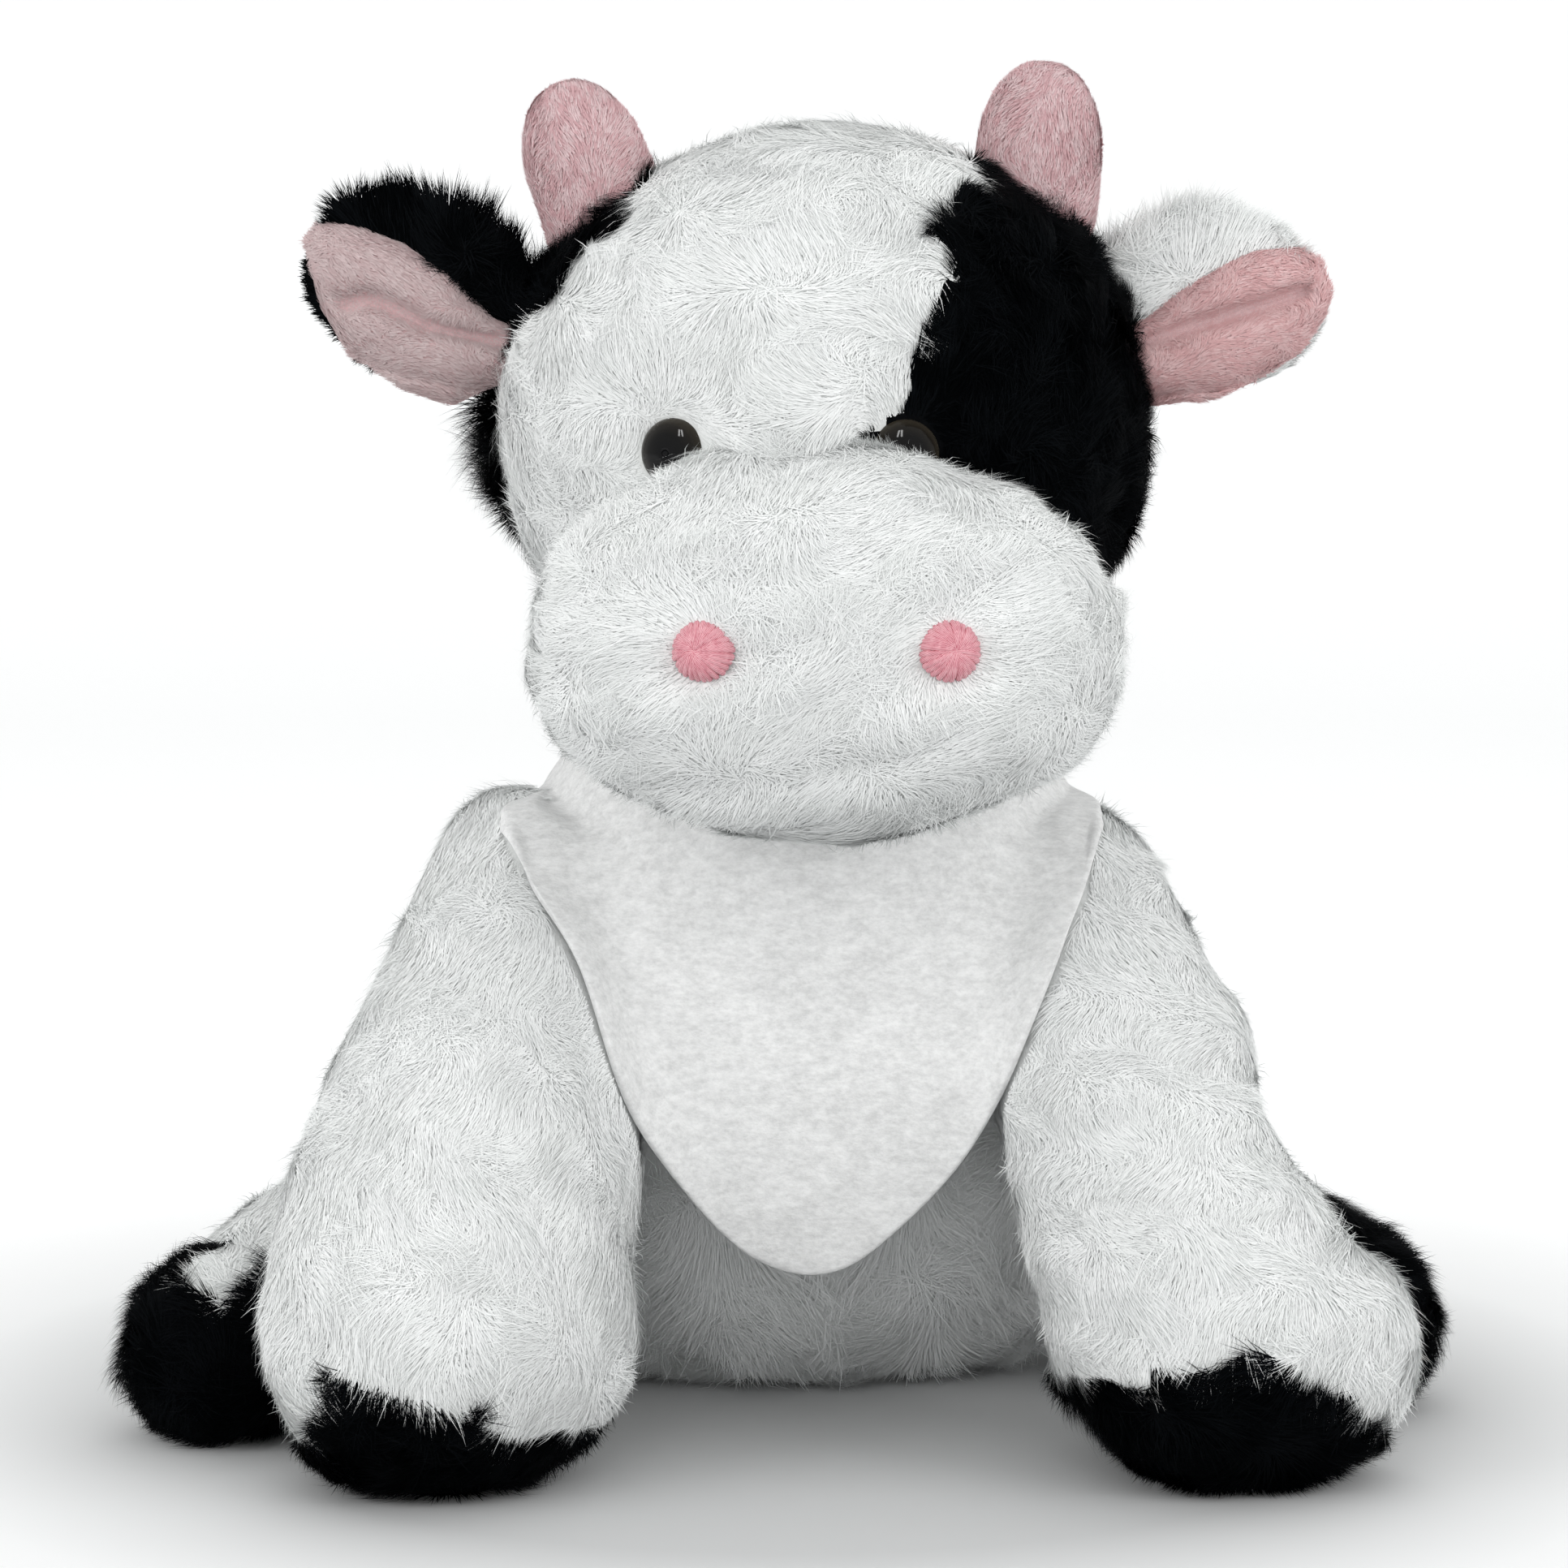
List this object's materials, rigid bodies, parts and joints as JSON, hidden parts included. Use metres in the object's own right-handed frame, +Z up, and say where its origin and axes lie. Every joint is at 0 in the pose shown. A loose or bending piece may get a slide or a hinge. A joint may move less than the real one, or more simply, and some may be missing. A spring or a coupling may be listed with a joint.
{
  "type": "plush cow",
  "caption": "Sitting plush cow in long white and black pile with a wide soft muzzle, pink horns and ear linings, a plain fleece bib and stuffed limbs that swing.",
  "frame": {"origin": "middle of the underside of the toy's box, on the surface that it sits on", "axes": "+Z up, the face looks along -Y, +X to the viewer's right when looking at the face"},
  "size_m": [0.2358, 0.181, 0.2445],
  "materials": {
    "white_pile": "long white pile",
    "black_pile": "long black pile",
    "pink_pile": "short pink pile",
    "satin_stitch": "satin stitch embroidery",
    "felt_cloth": "brushed light grey fleece",
    "filling": "polyester fibre filling",
    "pellet_cloth": "woven bag of plastic pellets",
    "eye_plastic": "polished dark brown dome",
    "washer_plastic": "plain moulded washer",
    "label_tape": "bare white tape"
  },
  "bodies": {
    "body": {"body_skin": "white_pile", "body_stuffing": "filling", "pellet_bag": "pellet_cloth", "bandana_collar": "felt_cloth", "care_label": "label_tape"},
    "neck": {"neck_plug": "filling"},
    "head": {"head_skin": "white_pile", "head_stuffing": "filling", "muzzle_skin": "white_pile", "muzzle_stuffing": "filling", "eye_left": "eye_plastic", "eye_right": "eye_plastic", "eye_washer_left": "washer_plastic", "eye_washer_right": "washer_plastic", "nostril_left": "satin_stitch", "nostril_right": "satin_stitch"},
    "ear_left": {"ear_left_outer": "black_pile", "ear_left_lining": "pink_pile"},
    "ear_right": {"ear_right_outer": "white_pile", "ear_right_lining": "pink_pile"},
    "horn_left": {"horn_left": "pink_pile"},
    "horn_right": {"horn_right": "pink_pile"},
    "front_leg_left": {"front_leg_left_skin": "white_pile", "front_hoof_left": "black_pile", "front_leg_left_stuffing": "filling"},
    "front_leg_right": {"front_leg_right_skin": "white_pile", "front_hoof_right": "black_pile", "front_leg_right_stuffing": "filling"},
    "hind_leg_left": {"hind_leg_left_skin": "white_pile", "hind_hoof_left": "black_pile", "hind_leg_left_stuffing": "filling"},
    "hind_leg_right": {"hind_leg_right_skin": "white_pile", "hind_hoof_right": "black_pile", "hind_leg_right_stuffing": "filling"},
    "tail": {"tail": "white_pile", "tail_tuft": "black_pile"},
    "bandana_flap": {"bandana_flap": "felt_cloth"}
  },
  "joints": [
    {"name": "neck_turn", "type": "hinge", "parent": "body", "child": "neck", "pos_m": [0.00599, 0.00785, 0.121], "axis": [0, 0, 1], "range_deg": [-15, 15], "stiffness_Nm_per_rad": 0.8},
    {"name": "head_nod", "type": "hinge", "parent": "neck", "child": "head", "pos_m": [0.00599, 0.00785, 0.121], "axis": [1, 0, 0], "range_deg": [-8, 3], "stiffness_Nm_per_rad": 2.5},
    {"name": "ear_left_flop", "type": "hinge", "parent": "head", "child": "ear_left", "pos_m": [-0.04651, -0.01015, 0.191], "axis": [0, 1, 0], "range_deg": [-12, 12], "stiffness_Nm_per_rad": 0.03},
    {"name": "ear_right_flop", "type": "hinge", "parent": "head", "child": "ear_right", "pos_m": [0.05849, -0.01015, 0.19], "axis": [0, 1, 0], "range_deg": [-12, 12], "stiffness_Nm_per_rad": 0.03},
    {"name": "horn_left_tilt", "type": "hinge", "parent": "head", "child": "horn_left", "pos_m": [-0.03251, -0.01215, 0.2165], "axis": [0, 1, 0], "range_deg": [-6, 6], "stiffness_Nm_per_rad": 0.05},
    {"name": "horn_right_tilt", "type": "hinge", "parent": "head", "child": "horn_right", "pos_m": [0.04349, -0.01215, 0.219], "axis": [0, 1, 0], "range_deg": [-6, 6], "stiffness_Nm_per_rad": 0.05},
    {"name": "front_leg_left_spread", "type": "hinge", "parent": "body", "child": "front_leg_left", "pos_m": [-0.04551, -0.00515, 0.0925], "axis": [-0.4, 0.9165, 0], "range_deg": [0, 12], "stiffness_Nm_per_rad": 0.3},
    {"name": "front_leg_right_spread", "type": "hinge", "parent": "body", "child": "front_leg_right", "pos_m": [0.04849, -0.00515, 0.0925], "axis": [-0.4, -0.9165, 0], "range_deg": [0, 12], "stiffness_Nm_per_rad": 0.3},
    {"name": "hind_leg_left_lift", "type": "hinge", "parent": "body", "child": "hind_leg_left", "pos_m": [-0.05951, 0.03385, 0.033], "axis": [-0.829, 0.5592, 0], "range_deg": [0, 7], "stiffness_Nm_per_rad": 0.3},
    {"name": "hind_leg_right_lift", "type": "hinge", "parent": "body", "child": "hind_leg_right", "pos_m": [0.06349, 0.03385, 0.033], "axis": [-0.7025, -0.7117, 0], "range_deg": [0, 7], "stiffness_Nm_per_rad": 0.3},
    {"name": "tail_swing", "type": "hinge", "parent": "body", "child": "tail", "pos_m": [0.00149, 0.07135, 0.045], "axis": [0, 1, 0], "range_deg": [-20, 20], "stiffness_Nm_per_rad": 0.02},
    {"name": "bandana_lift", "type": "hinge", "parent": "body", "child": "bandana_flap", "pos_m": [0.00399, -0.03914, 0.1062], "axis": [-1, 0, 0], "range_deg": [0, 40]}
  ]
}
